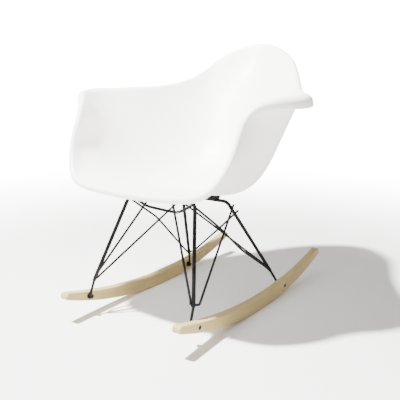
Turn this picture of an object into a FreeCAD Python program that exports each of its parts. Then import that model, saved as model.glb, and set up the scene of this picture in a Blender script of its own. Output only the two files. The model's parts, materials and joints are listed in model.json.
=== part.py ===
import FreeCAD, Part
import math
import os
from FreeCAD import Vector

# Shell rocking chair: a moulded seat shell on rubber mounts, a welded steel wire base and
# two curved wooden rockers.  Front is -Y, up is +Z, the sitter's left is +X.  The origin is
# on the floor, under the middle of the chair's box.

os.makedirs("parts", exist_ok=True)
doc = FreeCAD.newDocument("shell_rocking_chair")

# ---------------------------------------------------------------- driving dimensions
sheet = doc.addObject("Spreadsheet::Sheet", "sheet")
DIMS = [
    ("rocker_thick", 22), ("rocker_outer", 175), ("rocker_radius", 1100),
    ("rocker_mid_tall", 35), ("rocker_top_radius", 1500),
    ("rocker_reach", 371), ("rocker_tip_round", 8),
    ("rocker_edge_round", 2.5),
    ("front_bolt_back", 294), ("front_bolt_up", 53),
    ("rear_bolt_back", 132), ("rear_bolt_up", 26),
    ("bolt_hole_dia", 6.4), ("bolt_dia", 6), ("bolt_head_dia", 10.6), ("bolt_head_tall", 4),
    ("counterbore_dia", 11.4), ("counterbore_deep", 4.4),
    ("eye_thick", 4), ("eye_dia", 15), ("stem_dia", 6.4), ("nut_flats", 10), ("nut_tall", 5),
    ("leg_dia", 9), ("strut_dia", 5.5), ("brace_dia", 7), ("leg_bend", 16),
    ("weld_bite", 0.1),
    ("front_top_half", 96), ("front_top_back", 204), ("front_top_up", 303),
    ("rear_top_half", 70), ("rear_top_back", 18), ("rear_top_up", 274),
    ("front_foot_half", 153), ("front_foot_back", 288), ("front_foot_up", 72),
    ("rear_foot_half", 144), ("rear_foot_back", 130), ("rear_foot_up", 42),
    ("mount_dia", 32), ("plate_dia", 28), ("plate_thick", 2.5),
    ("mount_tilt", 8.3), ("screw_dia", 5), ("screw_head_dia", 10), ("screw_head_tall", 3.5),
    ("insert_dia", 9), ("insert_tall", 7),
    ("shell_wall", 4.5), ("flange_slope", 25), ("seat_centre_back", 95), ("seat_centre_up", 306),
    ("seat_ring_radius", 60), ("seat_slope", 9),
]
for row, (alias, value) in enumerate(DIMS, start=1):
    sheet.set("A%d" % row, alias)
    sheet.set("B%d" % row, str(value))
    sheet.setAlias("B%d" % row, alias)
doc.recompute()


def dim(alias):
    return float(sheet.get(alias))


parts = []


def keep(obj, label):
    obj.Label = label
    parts.append(obj)
    return obj


def cut(name, base, tool):
    c = doc.addObject("Part::Cut", name)
    c.Base = base
    c.Tool = tool
    return c


# ---------------------------------------------------------------- rockers
def rocker(label, side):
    """A bent board: the side profile is two arcs, padded across its thickness."""
    body = doc.addObject("PartDesign::Body", label + "_body")
    plane = [f for f in body.Origin.OriginFeatures if f.Role == "YZ_Plane"][0]
    sk = body.newObject("Sketcher::SketchObject", label + "_profile")
    sk.AttachmentSupport = [(plane, "")]
    sk.MapMode = "FlatFace"
    big, top = dim("rocker_radius"), dim("rocker_top_radius")
    tall = dim("rocker_mid_tall")
    reach = dim("rocker_reach")
    low_c, top_c = Vector(0, big, 0), Vector(0, top + tall, 0)

    def angle(offset, radius):
        return 1.5 * math.pi + math.asin(offset / radius)

    low = Part.ArcOfCircle(Part.Circle(low_c, Vector(0, 0, 1), big), angle(-reach, big), angle(reach, big))
    sk.addGeometry(low, False)
    up = Part.ArcOfCircle(Part.Circle(top_c, Vector(0, 0, 1), top),
                          angle(5.8 - reach, top), angle(reach - 5.8, top))
    sk.addGeometry(up, False)
    sk.addGeometry(Part.LineSegment(low.EndPoint, up.EndPoint), False)
    sk.addGeometry(Part.LineSegment(up.StartPoint, low.StartPoint), False)
    pad = body.newObject("PartDesign::Pad", label + "_pad")
    pad.Profile = sk
    pad.setExpression("Length", "sheet.rocker_thick")
    doc.recompute()
    ends = []
    for i, e in enumerate(pad.Shape.Edges):
        a, b = e.Vertexes[0].Point, e.Vertexes[-1].Point
        if abs(abs(a.x - b.x) - dim("rocker_thick")) < 0.01:
            ends.append("Edge%d" % (i + 1))
    tip = body.newObject("PartDesign::Fillet", label + "_tips")
    tip.Base = (pad, ends)
    tip.setExpression("Radius", "sheet.rocker_tip_round")
    doc.recompute()
    rim = []
    for i, e in enumerate(tip.Shape.Edges):
        if all(abs(v.Point.x - e.Vertexes[0].Point.x) < 0.01 for v in e.Vertexes):
            rim.append("Edge%d" % (i + 1))
    ease = body.newObject("PartDesign::Fillet", label + "_edges")
    ease.Base = (tip, rim)
    ease.setExpression("Radius", "sheet.rocker_edge_round")
    doc.recompute()
    outer_x = dim("rocker_outer") if side > 0 else -dim("rocker_outer")
    start_x = outer_x - dim("rocker_thick") if side > 0 else outer_x
    last = ease
    for tag, dia, deep in (("bore", "bolt_hole_dia", None), ("counterbore", "counterbore_dia", "counterbore_deep")):
        hs = body.newObject("Sketcher::SketchObject", "%s_%s_sketch" % (label, tag))
        hs.AttachmentSupport = [(plane, "")]
        hs.MapMode = "FlatFace"
        for back, upz in ((-dim("front_bolt_back"), dim("front_bolt_up")), (dim("rear_bolt_back"), dim("rear_bolt_up"))):
            hs.addGeometry(Part.Circle(Vector(back, upz, 0), Vector(0, 0, 1), dim(dia) / 2), False)
        if deep is not None and side > 0:
            hs.AttachmentOffset = FreeCAD.Placement(Vector(0, 0, dim("rocker_thick")), FreeCAD.Rotation())
        pk = body.newObject("PartDesign::Pocket", "%s_%s" % (label, tag))
        pk.Profile = hs
        pk.Type = "ThroughAll" if deep is None else "Length"
        pk.Reversed = not (deep is not None and side > 0)
        if deep is not None:
            pk.setExpression("Length", "sheet." + deep)
        before = last.Shape.Volume
        doc.recompute()
        if pk.Shape.Volume > before - 50:
            raise RuntimeError("%s cut nothing in %s" % (tag, label))
        last = pk
    body.Placement = FreeCAD.Placement(Vector(start_x, 0, 0), FreeCAD.Rotation())
    doc.recompute()
    return keep(body, label)


rocker("left_rocker", 1)
rocker("right_rocker", -1)


# ---------------------------------------------------------------- rods
def bent_path(points, radii):
    """A wire through the points whose corners are rounded with tangent arcs."""
    pts = [Vector(*p) for p in points]
    edges = []
    last = pts[0]
    for i in range(1, len(pts) - 1):
        a = (pts[i - 1] - pts[i]).normalize()
        b = (pts[i + 1] - pts[i]).normalize()
        turn = math.pi - a.getAngle(b)
        cut = radii[i - 1] * math.tan(turn / 2)
        p1, p2 = pts[i] + a * cut, pts[i] + b * cut
        half = (a + b).normalize()
        centre = pts[i] + half * (radii[i - 1] / math.cos(turn / 2))
        mid = centre - half * radii[i - 1]
        edges.append(Part.LineSegment(last, p1).toShape())
        edges.append(Part.Arc(p1, mid, p2).toShape())
        last = p2
    edges.append(Part.LineSegment(last, pts[-1]).toShape())
    return Part.Wire(edges)


def rod(label, points, dia_alias, radii=(), coped=()):
    """A round steel rod: a circle swept along its bent path, coped round the rods it is welded to."""
    path = doc.addObject("Part::Feature", label + "_path")
    path.Shape = bent_path(points, radii)
    ring = doc.addObject("Part::Circle", label + "_ring")
    ring.setExpression("Radius", "sheet.%s / 2" % dia_alias)
    start = Vector(*points[0])
    along = (Vector(*points[1]) - start).normalize()
    ring.Placement = FreeCAD.Placement(start, FreeCAD.Rotation(Vector(0, 0, 1), along))
    sweep = doc.addObject("Part::Sweep", label + "_sweep")
    sweep.Sections = [ring]
    sweep.Spine = (path, ["Edge%d" % (i + 1) for i in range(len(path.Shape.Edges))])
    sweep.Solid = True
    sweep.Frenet = False
    doc.recompute()
    last = sweep
    for other in coped:
        last = cut("%s_coped_%s" % (label, other), last, doc.getObject(other + "_sweep"))
        doc.recompute()
    return keep(last, label)


def mirror(points):
    return [(-x, y, z) for x, y, z in points]


def lerp(a, b, t):
    return tuple(a[i] + (b[i] - a[i]) * t for i in range(3))


def beside(at, along, toward, gap):
    """The point at distance gap from a rod's axis, on the side facing toward."""
    axis = Vector(*along).normalize()
    aim = Vector(*toward)
    aim = (aim - axis * aim.dot(axis)).normalize()
    p = Vector(*at) + aim * gap
    return (p.x, p.y, p.z)


leg_r, strut_r, brace_r = dim("leg_dia") / 2, dim("strut_dia") / 2, dim("brace_dia") / 2
touch = leg_r + strut_r - dim("weld_bite")
front_foot = (dim("front_foot_half"), -dim("front_foot_back"), dim("front_foot_up"))
front_top = (dim("front_top_half"), -dim("front_top_back"), dim("front_top_up"))
rear_foot = (dim("rear_foot_half"), dim("rear_foot_back"), dim("rear_foot_up"))
rear_top = (dim("rear_top_half"), -dim("rear_top_back"), dim("rear_top_up"))
front_line = tuple(front_top[i] - front_foot[i] for i in range(3))
rear_line = tuple(rear_top[i] - rear_foot[i] for i in range(3))

leg_ends = {"front_leg_frame": 0.075, "rear_leg_frame": 0.10}
for label, foot, top in (("front_leg_frame", front_foot, front_top), ("rear_leg_frame", rear_foot, rear_top)):
    rod(label, [lerp(foot, top, leg_ends[label]), top, mirror([top])[0], mirror([lerp(foot, top, leg_ends[label])])[0]],
        "leg_dia", [dim("leg_bend")] * 2)

# the dipping brace hangs from the inner side of the front leg frame's bends
brace = [(84.5, -203.4, 294.8), (50, -196, 276), (0, -148, 258)]
rod("front_brace", brace + mirror(brace[:2])[::-1], "brace_dia", [40, 30, 40])


def pair(name, points, radii=(), coped=(), coped_beside=()):
    for side, pts in (("left_", points), ("right_", mirror(points))):
        rod(side + name, pts, "strut_dia", radii, tuple(coped) + tuple(side + n for n in coped_beside))


# front struts rise from the feet to the front cross bar
butt = leg_r - dim("weld_bite")
low = lerp(front_foot, front_top, 0.095)
start = beside(low, front_line, (-0.45, -0.9, 0), touch)
turned = beside(lerp(front_foot, front_top, 0.135), front_line, (-0.45, -0.9, 0), touch + 0.6)
bar_touch = (36, -dim("front_top_back") - 3.8, dim("front_top_up") - 5.9)
pair("front_strut", [start, turned, bar_touch], [12])

# side struts from the front feet up to the rear legs
start = beside(low, front_line, (0.3, 1, 0), butt)
turned = beside(low, front_line, (0.3, 1, 0), butt + 12)
turned = (turned[0], turned[1], turned[2] + 1.5)
target = beside(lerp(rear_foot, rear_top, 0.93), rear_line, (1, -0.1, 0.2), touch)
over = tuple(target[i] + (target[i] - turned[i]) * 0.03 for i in range(3))
pair("side_strut_to_rear", [start, turned, over], [5], ("front_leg_frame", "rear_leg_frame"))

# side struts from the rear feet up to the front legs
low = lerp(rear_foot, rear_top, 0.14)
start = beside(low, rear_line, (-0.1, -1, 0), butt)
target = beside(lerp(front_foot, front_top, 0.955), front_line, (0.1, 1, 0), touch)
pair("side_strut_to_front", [start, (131, 84, 88), (108, -3, 148.5), (98, -97, 225), target], [6, 200, 200],
     ("rear_leg_frame",), ("side_strut_to_rear",))

# rear struts cross behind the seat, one in front of the other
for side, name, shift in ((1, "left", -2.8), (-1, "right", 2.8)):
    start = beside(low, rear_line, (-1, 0.6, 0), butt)
    turned = beside(low, rear_line, (-1, 0.6, 0), butt + 9)
    turned = (turned[0], turned[1], turned[2] + 1.5)
    aim = beside(lerp(rear_foot, rear_top, 0.85), rear_line, (0.2, 1, 0.4), touch)
    cross = (0, 57 + shift, 176)
    end = (-aim[0] - 7, aim[1] - 2.0, aim[2] + 5)
    points = [start, turned, cross, end]
    points = points if side > 0 else mirror(points)
    rod(name + "_rear_strut", points, "strut_dia", [5, 400],
        ("rear_leg_frame",) if side > 0 else ("rear_leg_frame", "left_rear_strut"))

# ---------------------------------------------------------------- seat shell
# Stations round the rim, from the middle of the back, over the left arm, to the middle of the
# front lip: the lip's edge, the way the wall runs into the bucket, where it lands on the seat
# (degrees round the seat's centre), how far each end of the wall keeps its direction, then the
# radius of the rolled rim and the length of the straight flange below it.
STATIONS = [
    ((0, 292, 673), (0, -0.37, -0.93), 0, 290, 110, 9, 4),
    ((94, 256, 647), (-0.10, -0.34, -0.93), 20, 270, 115, 9, 4),
    ((144, 217, 606), (-0.18, -0.28, -0.94), 36, 230, 120, 9, 4),
    ((181, 160, 568), (-0.24, -0.20, -0.95), 50, 205, 125, 10, 5),
    ((219, 92, 548), (-0.28, -0.10, -0.955), 62, 188, 130, 11, 6),
    ((253, 35, 539), (-0.33, 0.00, -0.94), 72, 178, 135, 14, 8),
    ((288, -20, 532), (-0.40, 0.08, -0.91), 80, 175, 140, 16, 10),
    ((315, -70, 526), (-0.43, 0.16, -0.89), 87, 172, 142, 18, 12),
    ((315, -126, 523), (-0.38, 0.34, -0.86), 92, 166, 145, 17, 11),
    ((291, -176, 522), (-0.28, 0.56, -0.78), 97, 150, 146, 14, 9),
    ((257, -211, 514), (-0.14, 0.80, -0.58), 102, 132, 148, 10, 6),
    ((240, -236, 484), (-0.03, 0.92, -0.38), 106, 122, 148, 8, 4),
    ((236, -258, 438), (0.00, 0.96, -0.27), 110, 117, 147, 7, 4),
    ((224, -279, 388), (0.00, 0.98, -0.21), 116, 110, 140, 7, 4),
    ((198, -299, 347), (-0.06, 0.98, -0.19), 127, 88, 108, 8, 4),
    ((156, -313, 327), (-0.04, 0.98, -0.18), 143, 65, 70, 9, 4),
    ((82, -319, 320), (-0.02, 0.98, -0.17), 162, 50, 45, 9, 4),
    ((0, -321, 318), (0, 0.98, -0.17), 180, 45, 40, 9, 4),
]
COLUMNS = 96


def spline_coefficients(values):
    """Coefficients of the closed uniform cubic spline that passes through the values."""
    n = len(values)
    c = list(values)
    for _ in range(40):
        for i in range(n):
            c[i] = (6 * values[i] - c[i - 1] - c[(i + 1) % n]) / 4
    return c


def closed_samples(values, count):
    """A closed smooth curve through the values, sampled evenly in station number."""
    n = len(values)
    c = spline_coefficients(values)
    out = []
    for k in range(count):
        u = k * n / count
        i = int(u)
        f = u - i
        w = ((1 - f) ** 3 / 6, (3 * f ** 3 - 6 * f * f + 4) / 6,
             (-3 * f ** 3 + 3 * f * f + 3 * f + 1) / 6, f ** 3 / 6)
        out.append(sum(w[j] * c[(i - 1 + j) % n] for j in range(4)))
    return out


def around(getter, odd=False):
    """Station values for the left half, mirrored to the right half, then sampled."""
    half = [getter(s) for s in STATIONS]
    back = [(-v if odd else v) for v in half[-2:0:-1]]
    return closed_samples(half + back, COLUMNS)


def shell_rows():
    """Rows of points on the sitter's side of the shell, from the lip to the seat's centre."""
    lip = list(zip(around(lambda s: s[0][0], True), around(lambda s: s[0][1]), around(lambda s: s[0][2])))
    way = list(zip(around(lambda s: s[1][0], True), around(lambda s: s[1][1]), around(lambda s: s[1][2])))
    lip = [Vector(*p) for p in lip]
    way = [Vector(*p).normalize() for p in way]
    turn_x = around(lambda s: math.sin(math.radians(s[2])), True)
    turn_y = around(lambda s: math.cos(math.radians(s[2])))
    keep_wall = around(lambda s: s[3])
    keep_seat = around(lambda s: s[4])
    slope = math.radians(dim("seat_slope"))
    fore = Vector(0, math.cos(slope), -math.sin(slope))
    middle = Vector(0, -dim("seat_centre_back"), dim("seat_centre_up"))
    roll = around(lambda s: s[5])
    flange = around(lambda s: s[6])
    first = math.radians(dim("flange_slope"))
    rows = []
    for k in range(COLUMNS):
        tangent = lip[(k + 1) % COLUMNS] - lip[k - 1]
        out = tangent.cross(way[k]).normalize()
        if out.dot(lip[k] - Vector(0, 0, 420)) < 0:
            out = out * -1
        rr = roll[k]
        side_run = rr * math.cos(first) + flange[k] * math.sin(first)
        up_run = rr * math.sin(first) - flange[k] * math.cos(first)
        centre = lip[k] - out * side_run + way[k] * up_run
        line = [lip[k]]
        for step in range(8):
            angle = first + (math.pi - first) * step / 7
            line.append(centre + out * (rr * math.cos(angle)) - way[k] * (rr * math.sin(angle)))
        radial = (Vector(1, 0, 0) * turn_x[k] + fore * turn_y[k]).normalize()
        p0 = line[-1]
        p1 = p0 + way[k] * keep_wall[k]
        p3 = middle + radial * dim("seat_ring_radius")
        p2 = p3 + radial * keep_seat[k]
        for step in range(1, 17):
            f = step / 16.0
            line.append(p0 * (1 - f) ** 3 + p1 * (3 * f * (1 - f) ** 2) + p2 * (3 * f * f * (1 - f)) + p3 * f ** 3)
        rows.append(line)
    return fair([[rows[k][r] for k in range(COLUMNS)] for r in range(len(rows[0]))])


def fair(rows):
    """Ease the wall and the seat sideways, row by row; the rolled rim keeps its line."""
    for _ in range(30):
        for r in range(10, len(rows) - 1):
            ease = min(1.0, (r - 9) / 4.0) * 0.5
            row = rows[r]
            rows[r] = [p + ((row[k - 1] + row[(k + 1) % COLUMNS]) / 2 - p) * ease for k, p in enumerate(row)]
    return rows


def offset_rows(rows, wall):
    """The same rows moved along the surface's own normal, away from the sitter."""
    slope = math.radians(dim("seat_slope"))
    flat = Vector(0, math.sin(slope), math.cos(slope))
    out = []
    last = len(rows) - 1
    for r, row in enumerate(rows):
        line = []
        for k, p in enumerate(row):
            across = row[(k + 1) % COLUMNS] - row[k - 1]
            down = rows[min(r + 1, last)][k] - rows[max(r - 1, 0)][k]
            normal = across.cross(down).normalize()
            if r >= last:
                normal = flat * (1 if normal.dot(flat) > 0 else -1)
            line.append((p, normal))
        out.append(line)
    sign = -1 if out[last][0][1].dot(flat) > 0 else 1
    return [[p + n * (wall * sign) for p, n in line] for line in out]


def skin(rows):
    """A smooth closed strip of surface over the rows."""
    poles = []
    for row in rows:
        xs = spline_coefficients([p.x for p in row])
        ys = spline_coefficients([p.y for p in row])
        zs = spline_coefficients([p.z for p in row])
        poles.append([Vector(x, y, z) for x, y, z in zip(xs, ys, zs)])
    count = len(rows)
    surface = Part.BSplineSurface()
    knots = [float(i) for i in range(count - 2)]
    mults = [4] + [1] * (count - 4) + [4]
    surface.buildFromPolesMultsKnots(poles, mults, [1] * (COLUMNS + 1), knots,
                                     [float(i) for i in range(COLUMNS + 1)], False, True, 3, 3)
    return surface.toShape()


def rim_edge(face, near):
    """The closed edge of the strip that passes closest to a point."""
    best = None
    for e in face.Edges:
        if e.isClosed():
            d = e.distToShape(Part.Vertex(near))[0]
            if best is None or d < best[0]:
                best = (d, e)
    return best[1]


inner = shell_rows()
outer = offset_rows(inner, dim("shell_wall"))
inner_face, outer_face = skin(inner), skin(outer)
lip_strip = Part.makeRuledSurface(rim_edge(inner_face, inner[0][0]), rim_edge(outer_face, outer[0][0]))
inner_disc = Part.Face(Part.Wire(rim_edge(inner_face, inner[-1][0])))
outer_disc = Part.Face(Part.Wire(rim_edge(outer_face, outer[-1][0])))
stitched = Part.Shell([inner_face, outer_face, lip_strip, inner_disc, outer_disc])
stitched.sewShape()
shell_solid = Part.Solid(stitched)
if shell_solid.Volume < 0:
    shell_solid.reverse()
shell = doc.addObject("Part::Feature", "seat_shell_body")
shell.Shape = shell_solid
keep(shell, "seat_shell")
print("shell closed", stitched.isClosed(), "valid", shell_solid.isValid(), "volume", round(shell_solid.Volume))
print("shell box", shell_solid.BoundBox)


# ---------------------------------------------------------------- feet and their fasteners
def facing(at, axis):
    """A placement at a point whose own Z runs along an axis."""
    return FreeCAD.Placement(Vector(*at), FreeCAD.Rotation(Vector(0, 0, 1), Vector(*axis)))


def cylinder(name, dia_alias, tall, at, axis):
    """A cylinder bound to the sheet; tall is a sheet expression."""
    c = doc.addObject("Part::Cylinder", name)
    c.setExpression("Radius", "sheet.%s / 2" % dia_alias)
    c.setExpression("Height", tall)
    c.Placement = facing(at, axis)
    return c


def joined(name, shapes):
    f = doc.addObject("Part::MultiFuse", name)
    f.Shapes = shapes
    return f


def group(label, members):
    """Identical fasteners share one node, each a solid of its own."""
    g = doc.addObject("Part::Compound", label + "_set")
    g.Links = members
    doc.recompute()
    return keep(g, label)


inner_x = dim("rocker_outer") - dim("rocker_thick")
eye_x = inner_x - dim("eye_thick")
corners = []
for end, back, up, foot, top in (("front", -dim("front_bolt_back"), dim("front_bolt_up"), front_foot, front_top),
                                 ("rear", dim("rear_bolt_back"), dim("rear_bolt_up"), rear_foot, rear_top)):
    for side, name in ((1, "left"), (-1, "right")):
        corners.append((end, name, side, back, up, foot, top))

bolts, nuts, washers = [], [], []
for end, name, side, back, up, foot, top in corners:
    tag = "%s_%s" % (end, name)
    # foot: a thin stem welded under the leg, its lower end flattened to an eye for the rocker bolt
    body = doc.addObject("PartDesign::Body", tag + "_eye_body")
    plane = [f for f in body.Origin.OriginFeatures if f.Role == "YZ_Plane"][0]
    sk = body.newObject("Sketcher::SketchObject", tag + "_eye_outline")
    sk.AttachmentSupport = [(plane, "")]
    sk.MapMode = "FlatFace"
    sk.addGeometry(Part.Circle(Vector(back, up, 0), Vector(0, 0, 1), dim("eye_dia") / 2), False)
    pad = body.newObject("PartDesign::Pad", tag + "_eye_pad")
    pad.Profile = sk
    pad.setExpression("Length", "sheet.eye_thick")
    body.Placement = FreeCAD.Placement(Vector(eye_x if side > 0 else -inner_x, 0, 0), FreeCAD.Rotation())
    doc.recompute()
    upper = lerp(foot, top, leg_ends[end + "_leg_frame"] + 0.012)
    lower = (min(inner_x - dim("stem_dia") / 2 - 0.1, foot[0] + 3), back + (1.5 if end == "front" else 1), up + (6.5 if end == "front" else 7.5))
    along = (Vector(upper[0] - lower[0], upper[1] - lower[1], upper[2] - lower[2]))
    stem = cylinder(tag + "_stem_rod", "stem_dia", "%.4f" % along.Length,
                    (side * lower[0], lower[1], lower[2]), (side * along.x, along.y, along.z))
    hole = cylinder(tag + "_eye_hole", "bolt_hole_dia", "40", (side * (inner_x + 5), back, up), (-side, 0, 0))
    frame = doc.getObject(end + "_leg_frame_sweep")
    blank = joined(tag + "_foot_blank", [body, stem])
    doc.recompute()
    lug = cut(tag + "_foot_bored", cut(tag + "_foot_cut", blank, frame), hole)
    doc.recompute()
    keep(lug, tag + "_foot_lug")

    # bolt: cap head in the rocker's counterbore, with a hexagon socket
    axis = (-side, 0, 0)
    seat_x = side * (dim("rocker_outer") - dim("counterbore_deep"))
    head = cylinder(tag + "_bolt_head", "bolt_head_dia", "sheet.bolt_head_tall",
                    (seat_x + side * dim("bolt_head_tall"), back, up), axis)
    shank = cylinder(tag + "_bolt_shank", "bolt_dia",
                     "sheet.rocker_thick - sheet.counterbore_deep + sheet.eye_thick + 1 + sheet.nut_tall + 1.5",
                     (seat_x, back, up), axis)
    socket = doc.addObject("Part::Prism", tag + "_bolt_socket")
    socket.Polygon = 6
    socket.Circumradius = 2.4
    socket.Height = 2.5
    socket.Placement = facing((seat_x + side * dim("bolt_head_tall"), back, up), axis)
    bolts.append(cut(tag + "_bolt", joined(tag + "_bolt_blank", [head, shank]), socket))

    # washer and nut on the inner side of the lug
    disc = doc.addObject("Part::Cylinder", tag + "_washer_disc")
    disc.Radius, disc.Height = 6.5, 1
    disc.Placement = facing((side * eye_x, back, up), axis)
    hole = cylinder(tag + "_washer_hole", "bolt_hole_dia", "3", (side * (eye_x + 1), back, up), axis)
    washers.append(cut(tag + "_washer", disc, hole))
    hexagon = doc.addObject("Part::Prism", tag + "_nut_hexagon")
    hexagon.Polygon = 6
    hexagon.setExpression("Circumradius", "sheet.nut_flats / 1.7320508")
    hexagon.setExpression("Height", "sheet.nut_tall")
    hexagon.Placement = facing((side * (eye_x - 1), back, up), axis)
    thread = cylinder(tag + "_nut_thread", "bolt_dia", "12", (side * (eye_x + 1), back, up), axis)
    nuts.append(cut(tag + "_nut", hexagon, thread))
group("rocker_bolts", bolts)
group("rocker_washers", washers)
group("rocker_nuts", nuts)

# ---------------------------------------------------------------- seat mounts
tilt = math.radians(dim("mount_tilt"))
up_axis = (0, math.sin(tilt), math.cos(tilt))
screws, inserts = [], []
for end, bar, inboard, shift in (("front", front_top, 26, 10.5), ("rear", rear_top, 34, -10.5)):
    for side, name in ((1, "left"), (-1, "right")):
        tag = "%s_%s" % (end, name)
        lift = leg_r - dim("weld_bite")
        base = Vector(side * (bar[0] - inboard), bar[1], bar[2]) + Vector(*up_axis) * lift
        base = base + Vector(0, math.cos(tilt), -math.sin(tilt)) * shift
        spot = (base.x, base.y, base.z)
        top = base + Vector(*up_axis) * dim("plate_thick")
        # plate: a steel disc welded on top of the cross bar
        disc = cylinder(tag + "_plate_disc", "plate_dia", "sheet.plate_thick", spot, up_axis)
        hole = cylinder(tag + "_plate_hole", "screw_dia", "10", (base.x, base.y - 0.6, base.z - 4), up_axis)
        hole.Placement = facing(tuple(base - Vector(*up_axis) * 3), up_axis)
        frame = doc.getObject(end + "_leg_frame_sweep")
        plate = cut(tag + "_plate", cut(tag + "_plate_seated", disc, frame), hole)
        doc.recompute()
        keep(plate, tag + "_mount_plate")
        # screw from below, and the threaded insert that it turns into
        neck = tuple(base - Vector(*up_axis) * dim("screw_head_tall"))
        head = cylinder(tag + "_screw_head", "screw_head_dia", "sheet.screw_head_tall", neck, up_axis)
        shank = cylinder(tag + "_screw_shank", "screw_dia", "sheet.plate_thick + 6", spot, up_axis)
        cross = doc.addObject("Part::Prism", tag + "_screw_socket")
        cross.Polygon = 6
        cross.Circumradius = 2.3
        cross.Height = 2
        cross.Placement = facing(neck, up_axis)
        screws.append(cut(tag + "_screw", joined(tag + "_screw_blank", [head, shank]), cross))
        barrel = cylinder(tag + "_insert_barrel", "insert_dia", "sheet.insert_tall", tuple(top), up_axis)
        thread = cylinder(tag + "_insert_thread", "screw_dia", "sheet.insert_tall - 1", tuple(top), up_axis)
        inserts.append(cut(tag + "_insert", barrel, thread))
        # rubber mount: a puck moulded to the underside of the shell
        puck = Part.makeCylinder(dim("mount_dia") / 2, 26, top, Vector(*up_axis))
        puck = puck.cut(Part.makeCylinder(dim("insert_dia") / 2, dim("insert_tall"), top, Vector(*up_axis)))
        pieces = sorted(puck.cut(shell_solid).Solids, key=lambda s: s.CenterOfMass.z)
        print(tag, "puck pieces", [round(s.Volume) for s in pieces],
              "tall %.1f" % (pieces[0].BoundBox.ZLength))
        mount = doc.addObject("Part::Feature", tag + "_mount_body")
        mount.Shape = pieces[0]
        keep(mount, tag + "_rubber_mount")
group("mount_screws", screws)
group("mount_inserts", inserts)


bad = [o.Name for o in doc.Objects if "Invalid" in o.State or "Error" in o.State]
if bad:
    raise RuntimeError("these objects failed: %s" % bad)
for p in parts:
    if p.Shape.isNull() or not p.Shape.isValid():
        raise RuntimeError("%s has no sound shape" % p.Label)
for p in parts:
    p.Shape.exportStep("parts/%s.step" % p.Label)
    print("%-28s %9.0f mm3, %d solid(s)" % (p.Label, p.Shape.Volume, len(p.Shape.Solids)))
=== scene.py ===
# %% [markdown]
# # A shell rocking chair, built round its engineering model
# The chair is a white moulded bucket on four rubber mounts, a black wire base and two bent
# wooden rockers. The engineering model already says where every piece is, so it is loaded
# first as a fixed frame. Each new piece is then made in that same frame, in metres, with the
# floor at z = 0, the chair's front towards -Y and the sitter's left towards +X.

# %% Load the frame
import bmesh
import bpy
import json
import math
import numpy as np
from mathutils import Matrix, Vector


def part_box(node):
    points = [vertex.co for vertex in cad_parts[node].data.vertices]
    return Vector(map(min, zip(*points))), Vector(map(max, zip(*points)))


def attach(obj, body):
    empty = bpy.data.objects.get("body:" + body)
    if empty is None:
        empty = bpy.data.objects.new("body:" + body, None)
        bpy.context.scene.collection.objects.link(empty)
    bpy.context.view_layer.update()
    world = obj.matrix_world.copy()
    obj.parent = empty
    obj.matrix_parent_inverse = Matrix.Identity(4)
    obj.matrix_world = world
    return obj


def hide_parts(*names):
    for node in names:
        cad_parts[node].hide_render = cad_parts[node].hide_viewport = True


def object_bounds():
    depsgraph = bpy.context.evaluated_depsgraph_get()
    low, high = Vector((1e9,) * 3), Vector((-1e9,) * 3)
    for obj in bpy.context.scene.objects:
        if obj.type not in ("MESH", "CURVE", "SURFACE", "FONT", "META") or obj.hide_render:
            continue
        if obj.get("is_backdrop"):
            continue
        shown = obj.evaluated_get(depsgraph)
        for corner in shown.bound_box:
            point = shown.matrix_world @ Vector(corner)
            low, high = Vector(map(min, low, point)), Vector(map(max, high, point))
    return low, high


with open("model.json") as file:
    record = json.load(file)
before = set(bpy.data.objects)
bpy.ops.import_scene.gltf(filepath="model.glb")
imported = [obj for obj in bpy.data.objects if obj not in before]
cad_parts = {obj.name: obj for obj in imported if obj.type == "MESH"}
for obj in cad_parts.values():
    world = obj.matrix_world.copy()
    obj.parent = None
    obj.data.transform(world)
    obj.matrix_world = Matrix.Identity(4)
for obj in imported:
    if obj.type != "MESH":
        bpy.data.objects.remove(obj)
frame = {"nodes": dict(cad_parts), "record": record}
CAD_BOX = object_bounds()
SCENE = bpy.context.scene.collection
MM = 0.001
print("the chair's box in metres:", [round(v, 4) for corner in CAD_BOX for v in corner])

# %% [markdown]
# ## Finishes
# A finish is a small network of nodes: where on the piece we are goes in, and colour,
# roughness and tiny bumps come out. Noise that lives in the piece's own space sticks to it
# from every side, so no picture has to be wrapped round the curves. Two effects are wanted
# on nearly everything here, a slow patchiness and a fine grain of bumps, so they are made
# once as node groups and shared.

# %% Node helpers
def link(tree, a, b):
    tree.links.new(a, b)


def add(tree, kind, **settings):
    """A node with its settings; names that match inputs set those inputs."""
    n = tree.nodes.new(kind)
    for key, value in settings.items():
        if hasattr(n, key):
            setattr(n, key, value)
        else:
            n.inputs[key.replace("_", " ")].default_value = value
    return n


def group(name, inputs, outputs):
    """An empty shader node group with the sockets that it needs."""
    g = bpy.data.node_groups.new(name, "ShaderNodeTree")
    for label, kind, value in inputs:
        s = g.interface.new_socket(label, in_out="INPUT", socket_type=kind)
        if value is not None:
            s.default_value = value
    for label, kind in outputs:
        g.interface.new_socket(label, in_out="OUTPUT", socket_type=kind)
    return g, g.nodes.new("NodeGroupInput"), g.nodes.new("NodeGroupOutput")


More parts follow.
